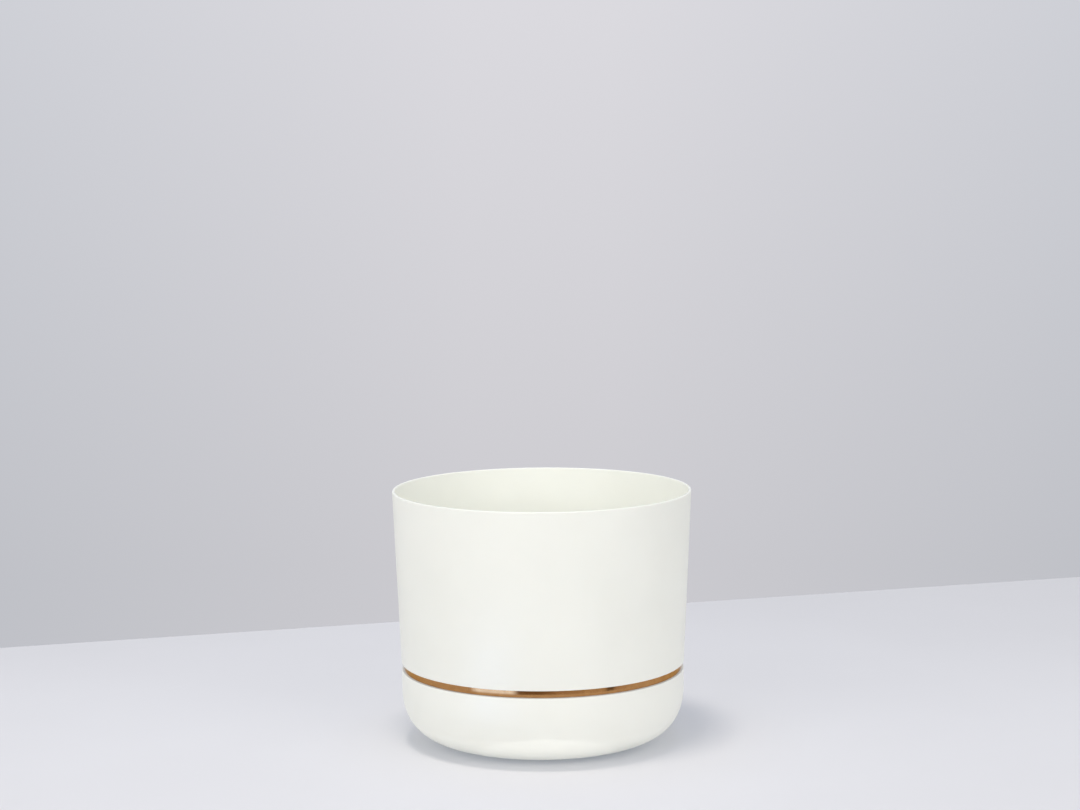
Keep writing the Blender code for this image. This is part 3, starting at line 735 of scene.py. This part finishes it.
def basket_outline():
    flange_low = FLOOR_TOP + GAP
    flange_top = flange_low + FLANGE_THICKNESS
    inside_low = BASKET_LOW + BASKET_WALL
    r = BASKET_EDGE
    foot_inside = BASKET_FOOT_RADIUS - BASKET_WALL
    points = [(0, inside_low)]
    points += arc((foot_inside - 2 * r, inside_low + 2 * r), 2 * r, -90, 0, 6)
    rings = [SLOT_LOW - SLOT_MARGIN, SLOT_TOP + SLOT_MARGIN]
    points += list(on_line(points[-1], (BASKET_RADIUS - BASKET_WALL, flange_top - r), rings))
    points += arc((BASKET_RADIUS - BASKET_WALL + r, flange_top - r), r, 180, 90, 6)
    points += arc((FLANGE_RADIUS - r, flange_top - r), r, 90, 0, 6)
    points += arc((FLANGE_RADIUS - r / 2, flange_low + r / 2), r / 2, 0, -90, 4)
    points += [(BASKET_RADIUS, flange_low)]
    points += list(on_line(points[-1], (BASKET_FOOT_RADIUS, BASKET_LOW + 2 * r), rings[::-1]))
    points += arc((BASKET_FOOT_RADIUS - 2 * r, BASKET_LOW + 2 * r), 2 * r, 0, -90, 6)
    points += [(0, BASKET_LOW)]
    return points


def basket_cuts(centre):
    """The slots in the wall, two to a box, and the holes in the base."""
    form = bmesh.new()
    for i in range(SLOT_COUNT // 2):
        angle = pi * (i + 0.5) / (SLOT_COUNT / 2)
        size = (2 * FLANGE_RADIUS, SLOT_WIDTH, SLOT_TOP - SLOT_LOW)
        place = upright(centre + Vector((0, 0, (SLOT_LOW + SLOT_TOP) / 2)), angle)
        add_box(form, place, size)
    slots = from_form("basket_slots", form)
    form = bmesh.new()
    for i in range(BASE_HOLE_COUNT):
        angle = 2 * pi * i / BASE_HOLE_COUNT
        hole = centre + polar(BASKET_FOOT_RADIUS / 2, angle, BASKET_LOW)
        add_cylinder(form, upright(hole), BASE_HOLE_RADIUS, 2 * OVERSHOOT)
    return slots, from_form("basket_holes", form)


def make_baskets(skin):
    for number, centre in basket_places():
        basket = turned(f"planter_basket_{number}", basket_outline(), SMALL_STEPS)
        basket.location = centre
        bpy.context.view_layer.update()
        slots, holes = basket_cuts(centre)
        boolean(basket, slots, overlapping=True)
        boolean(basket, holes)
        bevel(basket, 0.25 * MM, 2, 60)
        settle(basket, [slots, holes], BEVELLED_SHARP)
        stand_for(basket, f"wick_basket_{number}", f"basket_{number}", skin)


def make_flap(skin):
    inside = FLAP_RADIUS - FLAP_THICKNESS
    shelf_low = FLAP_TOP - FLAP_THICKNESS
    shelf_in = HINGE_Y - FLAP_THICKNESS
    outline = [(FLAP_RADIUS, FLAP_TOP), (FLAP_RADIUS, FLAP_LOW), (inside, FLAP_LOW)]
    outline += [(inside, shelf_low), (shelf_in, shelf_low), (shelf_in, FLAP_TOP)]
    flap = turned("planter_flap", outline, 360, closed=True)
    low = FLAP_LOW - OVERSHOOT / 2
    top = FLAP_TOP + OVERSHOOT / 2
    depth = 4 * OVERSHOOT
    helpers = [rounded_slot("flap_width", FLAP_WIDTH, low, top, FLAP_CORNER, HINGE_Y, depth)]
    hinge_line = Matrix.Translation((0, HINGE_Y, HINGE_Z)) @ Matrix.Rotation(pi / 2, 4, "Y")
    form = bmesh.new()
    add_cylinder(form, hinge_line, BARREL_RADIUS, BARREL_LENGTH, SMALL_STEPS)
    helpers.append(from_form("flap_barrel", form))
    form = bmesh.new()
    add_cylinder(form, hinge_line, PIN_RADIUS + GAP, BARREL_LENGTH + OVERSHOOT)
    helpers.append(from_form("flap_bore", form))
    form = bmesh.new()
    notch = (SPRING_NOTCH, 3 * BARREL_RADIUS, 4 * BARREL_RADIUS)
    add_box(form, upright((0, HINGE_Y, HINGE_Z)), notch)
    helpers.append(from_form("flap_notch", form))
    for helper, operation in zip(helpers, ("INTERSECT", "UNION", "DIFFERENCE", "DIFFERENCE")):
        boolean(flap, helper, operation)
    bevel(flap, 0.3 * MM, 3, 60)
    settle(flap, helpers, BEVELLED_SHARP)
    stand_for(flap, "fill_flap", "flap", skin)


def rod_outline(radius, low, top, edge):
    points = [(0, top)]
    points += arc((radius - edge, top - edge), edge, 90, 0, 5)
    points += arc((radius - edge, low + edge), edge, 0, -90, 5)
    points += [(0, low)]
    return points


def make_hinge(skin):
    outline = rod_outline(PIN_RADIUS, -PIN_LENGTH / 2, PIN_LENGTH / 2, PIN_EDGE)
    pin = settle(turned("planter_flap_pin", outline, HOLE_STEPS))
    pin.matrix_world = Matrix.Translation((0, HINGE_Y, HINGE_Z)) @ Matrix.Rotation(pi / 2, 4, "Y")
    stand_for(pin, "flap_pin", "saucer", skin)
    curve = bpy.data.curves.new("planter_flap_spring", "CURVE")
    curve.dimensions = "3D"
    curve.bevel_depth = SPRING_WIRE_RADIUS
    curve.bevel_resolution = 3
    curve.use_fill_caps = True
    per_turn = 28
    last = (SPRING_TURNS - 1) * per_turn
    spline = curve.splines.new("POLY")
    spline.points.add(last)
    for i, point in enumerate(spline.points):
        a = 2 * pi * i / per_turn
        along = SPRING_PITCH * (i - last / 2) / per_turn
        point.co = (along, SPRING_RADIUS * cos(a), SPRING_RADIUS * sin(a), 1)
    coil = link(bpy.data.objects.new("planter_flap_spring", curve))
    depsgraph = bpy.context.evaluated_depsgraph_get()
    mesh = bpy.data.meshes.new_from_object(coil.evaluated_get(depsgraph), depsgraph=depsgraph)
    bpy.data.objects.remove(coil)
    spring = link(bpy.data.objects.new("planter_flap_spring", mesh))
    mesh.shade_smooth()
    spring.location = (0, HINGE_Y, HINGE_Z)
    stand_for(spring, "flap_spring", "saucer", skin)


def make_gauge(foam, metal, clear):
    low, top = FLOAT_LOW[2], FLOAT_HIGH[2]
    r = FLOAT_EDGE
    small = FLOAT_BORE_EDGE
    outline = arc((FLOAT_BORE + small, top - small), small, 180, 90, 5)
    outline += arc((FLOAT_RADIUS - r, top - r), r, 90, 0)
    outline += arc((FLOAT_RADIUS - r, low + r), r, 0, -90)
    outline += arc((FLOAT_BORE + small, low + small), small, -90, -180, 5)
    body = settle(turned("planter_float", outline, SMALL_STEPS, closed=True))
    body.location = polar(FLOAT_CIRCLE, GAUGE_ANGLE)
    stand_for(body, "water_float", "float", foam)
    outline = rod_outline(ROD_RADIUS, ROD_LOW[2], ROD_HIGH[2], ROD_EDGE)
    rod = settle(turned("planter_float_rod", outline, HOLE_STEPS))
    rod.location = polar(FLOAT_CIRCLE, GAUGE_ANGLE)
    stand_for(rod, "float_rod", "saucer", metal)
    seat = SAUCER_RADIUS + GAP
    crown = LENS_CROWN
    back = GAP + SAUCER_WALL
    edge = LENS_EDGE
    groove = LENS_RADIUS - 0.8 * MM
    outline = [(0, crown), (groove - edge, crown - 0.15 * MM), (groove, crown - 0.45 * MM)]
    outline += [(groove + edge, crown - 0.15 * MM)]
    outline += arc((LENS_FLANGE_RADIUS - edge, crown - edge), edge, 90, 0, 6)
    outline += [(LENS_FLANGE_RADIUS, 0), (LENS_RADIUS, 0)]
    outline += arc((LENS_RADIUS - edge, edge - back), edge, 0, -90, 6)
    outline += [(0, -back)]
    lens = settle(turned("planter_lens", outline, SMALL_STEPS))
    lens.matrix_world = radial(polar(seat, GAUGE_ANGLE, LENS_HEIGHT), GAUGE_ANGLE)
    stand_for(lens, "sight_lens", "saucer", clear)


def make_plug(skin):
    """The bung's head has two finger grips cut into it."""
    low, top = PLUG_LOW[2], PLUG_HIGH[2]
    head_top = BASE_LOW + RECESS_DEPTH - GAP
    r = PLUG_HEAD_EDGE
    outline = [(0, top)]
    outline += arc((PLUG_RADIUS - 3 * PLUG_NOSE, top - PLUG_NOSE), PLUG_NOSE, 90, 20, 5)
    outline += [(PLUG_RADIUS, top - 2.2 * MM), (PLUG_RADIUS, head_top)]
    outline += arc((PLUG_HEAD_RADIUS - r, head_top - r), r, 90, 0)
    outline += arc((PLUG_HEAD_RADIUS - r, low + r), r, 0, -90)
    outline += [(0, low)]
    plug = turned("planter_drain_plug", outline, SMALL_STEPS)
    form = bmesh.new()
    for side in (-1, 1):
        add_box(form, upright((side * GRIP_PLACE, 0, low)), GRIP_SIZE)
    grips = from_form("plug_grips", form)
    boolean(plug, grips)
    bevel(plug, 0.25 * MM, 3, 60)
    settle(plug, [grips], BEVELLED_SHARP)
    stand_for(plug, "drain_plug", "plug", skin)


def foot_angles():
    return [radians(45) + i * 2 * pi / FOOT_COUNT for i in range(FOOT_COUNT)]


def make_feet(skin):
    """Pads with a shallow ring moulded into the face that grips the table."""
    for i, angle in enumerate(foot_angles()):
        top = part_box(f"rubber_foot_{i + 1}")[1][2]
        r = FOOT_EDGE
        t = FOOT_TOP_EDGE
        outline = [(0, top)] + arc((FOOT_RADIUS - t, top - t), t, 90, 0, 4)
        outline += arc((FOOT_RADIUS - r, r), r, 0, -90)
        outline += [(FOOT_RING + FOOT_RING_HALF_WIDTH, 0), (FOOT_RING, FOOT_RING_DEPTH)]
        outline += [(FOOT_RING - FOOT_RING_HALF_WIDTH, 0), (0, 0)]
        foot = settle(turned(f"planter_foot_{i + 1}", outline, SMALL_STEPS))
        foot.location = polar(FOOT_CIRCLE, angle)
        stand_for(foot, f"rubber_foot_{i + 1}", "saucer", skin)


# --- Studio -------------------------------------------------------------------------------


def make_floor():
    """A pale table top whose far edge runs behind the planter at a slant."""
    edge_angle = radians(16.3)
    edge_distance = 0.50
    reach = 7.0
    form = bmesh.new()
    corners = [(-reach, -reach), (reach, -reach), (reach, edge_distance), (-reach, edge_distance)]
    form.faces.new([form.verts.new((x, y, 0)) for x, y in corners])
    floor = from_form("table_top", form)
    floor.rotation_euler.z = edge_angle
    skin, nodes, links, shader = new_material("table_paint")
    place = object_place(nodes)
    cloud = noise(nodes, links, place, 3, 3)
    colour = ramp(nodes, links, cloud, (0.735, 0.727, 0.732), (0.751, 0.743, 0.748))
    links.new(colour, shader.inputs["Base Color"])
    shader.inputs["Roughness"].default_value = 0.6
    shader.inputs["Specular IOR Level"].default_value = 0
    floor.data.materials.append(skin)


def area_light(name, place, target, size, power, colour=(1.0, 1.0, 1.0)):
    lamp = bpy.data.lights.new(name, "AREA")
    lamp.shape = "RECTANGLE"
    lamp.size = size[0]
    lamp.size_y = size[1]
    lamp.energy = power
    lamp.color = colour
    made = link(bpy.data.objects.new(name, lamp))
    made.location = place
    aim = Vector(target) - Vector(place)
    made.rotation_euler = aim.to_track_quat("-Z", "Y").to_euler()
    made.visible_camera = False
    return made


def make_world():
    """A pale wall all round, darker low down, overhead and towards the sides."""
    world = bpy.data.worlds.new("studio_wall")
    bpy.context.scene.world = world
    world.use_nodes = True
    nodes, links = world.node_tree.nodes, world.node_tree.links
    background = nodes["Background"]
    split = nodes.new("ShaderNodeSeparateXYZ")
    links.new(nodes.new("ShaderNodeTexCoord").outputs["Generated"], split.inputs["Vector"])
    side = nodes.new("ShaderNodeMath")
    side.operation = "ABSOLUTE"
    links.new(split.outputs["X"], side.inputs[0])
    middle, edge, beyond = 0.03, 0.22, 0.60
    away = spread(nodes, links, side.outputs["Value"], 0, 1, middle, beyond)
    wall = nodes.new("ShaderNodeValToRGB")
    stops = wall.color_ramp.elements
    stops.new((edge - middle) / (beyond - middle))
    stops[0].color = (0.710, 0.702, 0.740, 1)
    stops[1].color = (0.620, 0.630, 0.675, 1)
    stops[2].color = (0.760, 0.762, 0.775, 1)
    links.new(away, wall.inputs["Fac"])
    colour = wall.outputs["Color"]
    height = spread(nodes, links, split.outputs["Z"], 0.85, 1, -0.18, 0.05)
    ceiling = spread(nodes, links, split.outputs["Z"], 1, 0.68, 0.10, 0.80)
    strength = nodes.new("ShaderNodeMath")
    strength.operation = "MULTIPLY"
    links.new(height, strength.inputs[0])
    links.new(ceiling, strength.inputs[1])
    links.new(colour, background.inputs["Color"])
    links.new(strength.outputs["Value"], background.inputs["Strength"])


def make_lights():
    """Three softboxes in front, one small light above for the shadow's edge, and two fills
    without shadows for the light that the room and the table top send back."""
    front = (0, 0, 0.06)
    area_light("left_softbox", (-1.5, -2.0, 0.85), front, (2.2, 0.8), 13)
    area_light("right_softbox", (1.8, -1.8, 0.85), front, (2.2, 0.8), 10.8)
    area_light("front_softbox", (-0.3, -2.7, 0.85), front, (2.4, 0.8), 2.0)
    warm = (1.10, 1.02, 0.90)
    cool = (0.68, 0.85, 1.18)
    area_light("top_softbox", (-0.17, -0.36, 2.2), (0, 0, 0), (0.4, 0.4), 12, warm)
    above = (-0.02, 0.05, 0)
    fill = area_light("sky_fill", (-0.12, 0.10, 2.2), above, (1.3, 1.3), 10.5, cool)
    low = (0, 0, 0.03)
    bounce = area_light("table_bounce", (0.02, -0.7, -0.6), low, (3.0, 0.8), 7.5)
    for shadowless in (fill, bounce):
        shadowless.data.use_shadow = False
        shadowless.visible_glossy = False


def make_painted_reflection():
    """A low curved card in front of the planter that only reflections see. It is no lamp: it glows
    with painted reflection tones that give the brass one cool bright patch left of the middle, a
    darker one at the middle and a dark mark on the right. Each tone is (degrees to the right of
    the front, colour)."""
    radius = 0.30
    low, top = 0.001, 0.042
    start, end = -52, 62
    tones = [
        (-52, (0.74, 0.73, 0.77)),
        (-50, (0.74, 0.73, 0.77)),
        (-46, (1.50, 2.20, 4.20)),
        (-20, (1.45, 2.10, 3.90)),
        (-16, (0.26, 0.20, 0.16)),
        (0, (0.26, 0.20, 0.16)),
        (9, (0.46, 0.39, 0.36)),
        (29, (0.66, 0.64, 0.64)),
        (42, (0.72, 0.70, 0.70)),
        (44, (0.15, 0.12, 0.09)),
        (48, (0.15, 0.12, 0.09)),
        (50, (0.62, 0.58, 0.62)),
        (62, (0.74, 0.73, 0.77)),
    ]
    form = bmesh.new()
    columns = []
    for step in range(end - start + 1):
        angle = radians(-90 + start + step)
        columns.append([form.verts.new(polar(radius, angle, z)) for z in (low, top)])
    for one, other in zip(columns, columns[1:]):
        form.faces.new((one[0], other[0], other[1], one[1]))
    card = from_form("painted_reflection_card", form)
    skin, nodes, links, _ = new_material("painted_reflection_tones")
    nodes.clear()
    split = nodes.new("ShaderNodeSeparateXYZ")
    links.new(object_place(nodes), split.inputs["Vector"])
    front = nodes.new("ShaderNodeMath")
    front.operation = "MULTIPLY"
    front.inputs[1].default_value = -1
    links.new(split.outputs["Y"], front.inputs[0])
    angle = nodes.new("ShaderNodeMath")
    angle.operation = "ARCTAN2"
    links.new(split.outputs["X"], angle.inputs[0])
    links.new(front.outputs["Value"], angle.inputs[1])
    share = spread(nodes, links, angle.outputs["Value"], 0, 1, radians(start), radians(end))
    brightest = 5.0
    paint = nodes.new("ShaderNodeValToRGB")
    stops = paint.color_ramp.elements
    while len(stops) < len(tones):
        stops.new(0.5)
    for stop, (degree, tone) in zip(stops, tones):
        stop.position = (degree - start) / (end - start)
    for stop, (degree, tone) in zip(stops, tones):
        stop.color = (*[c / brightest for c in tone], 1)
    links.new(share, paint.inputs["Fac"])
    # The card's glow is painted reflection, seen only in the brass and other glossy surfaces.
    glow = nodes.new("ShaderNodeEmission")
    glow.inputs["Strength"].default_value = brightest
    links.new(paint.outputs["Color"], glow.inputs["Color"])
    output = nodes.new("ShaderNodeOutputMaterial")
    links.new(glow.outputs["Emission"], output.inputs["Surface"])
    card.data.materials.append(skin)
    card.visible_camera = False
    card.visible_diffuse = False
    card.visible_transmission = False
    card.visible_shadow = False


def make_camera():
    """The photograph's view: a long lens, a little above the rim and turned down."""
    lens = bpy.data.cameras.new("camera")
    lens.lens = 80.6
    lens.sensor_width = 36
    lens.clip_end = 50
    camera = link(bpy.data.objects.new("camera", lens))
    place = Matrix.Translation((0, -2.0018, 0.5165))
    turn = Matrix.Rotation(radians(0.025), 4, "Z")
    tilt = Matrix.Rotation(radians(90 - 6.672), 4, "X")
    roll = Matrix.Rotation(radians(-0.40), 4, "Z")
    camera.matrix_world = place @ turn @ tilt @ roll
    bpy.context.scene.camera = camera


white = white_plastic()
grey = satin_plastic("grey_plastic", (0.26, 0.27, 0.275), (0.31, 0.32, 0.325), 0.42, 0.56)
metal = steel()
black = rubber()
make_pot(white)
make_saucer(white)
make_band(brass())
make_baskets(grey)
make_flap(white)
make_hinge(metal)
make_gauge(float_foam(), metal, clear_plastic())
make_plug(black)
make_feet(black)
make_floor()
make_world()
make_lights()
make_painted_reflection()
make_camera()
bpy.context.scene.view_settings.view_transform = "Standard"
